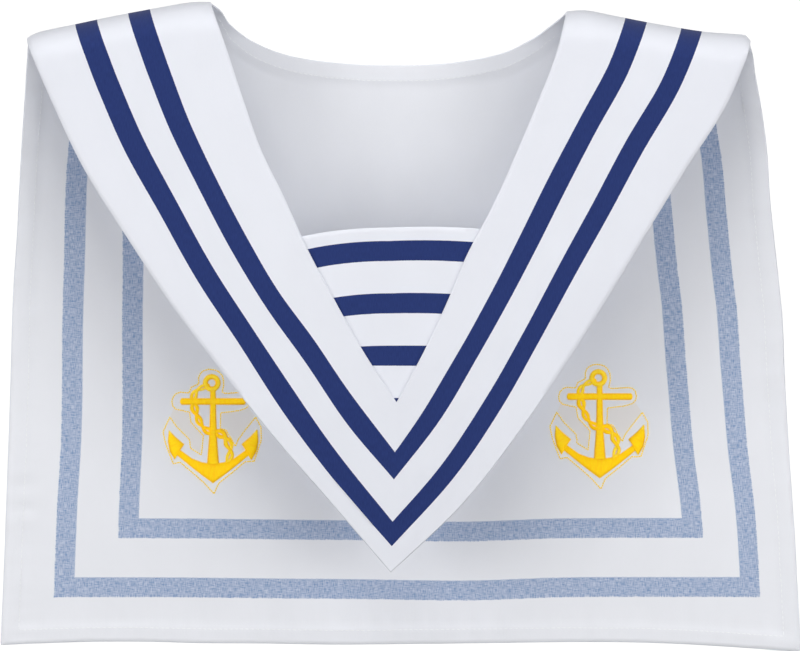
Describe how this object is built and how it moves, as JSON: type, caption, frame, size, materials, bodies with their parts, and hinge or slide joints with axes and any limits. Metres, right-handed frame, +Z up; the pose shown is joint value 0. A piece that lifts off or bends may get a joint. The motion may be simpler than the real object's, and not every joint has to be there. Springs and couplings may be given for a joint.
{
  "type": "sailor collar",
  "caption": "White sailor collar with a V front, a striped insert and a square striped back panel, shaped as it hangs over the shoulders.",
  "frame": {"origin": "middle of the neck between the two neck corners, at the height of the left neck corner on the shoulder fold", "axes": "+X to the right seen from the front, +Y towards the back, +Z up; the V front faces -Y"},
  "size_m": [0.4383, 0.0613, 0.3544],
  "materials": {
    "white_cotton": "matte",
    "navy_print": "matte",
    "yellow_thread": "satin"
  },
  "bodies": {
    "root": {"back_panel": "white_cotton", "front_panel": "white_cotton", "insert": "white_cotton", "front_inner_stripe": "navy_print", "front_outer_stripe": "navy_print", "back_outer_stripe": "navy_print", "back_inner_stripe": "navy_print", "insert_stripe_1": "navy_print", "insert_stripe_2": "navy_print", "insert_stripe_3": "navy_print", "left_anchor": "yellow_thread", "left_anchor_reverse": "yellow_thread", "right_anchor": "yellow_thread", "right_anchor_reverse": "yellow_thread"}
  },
  "joints": []
}
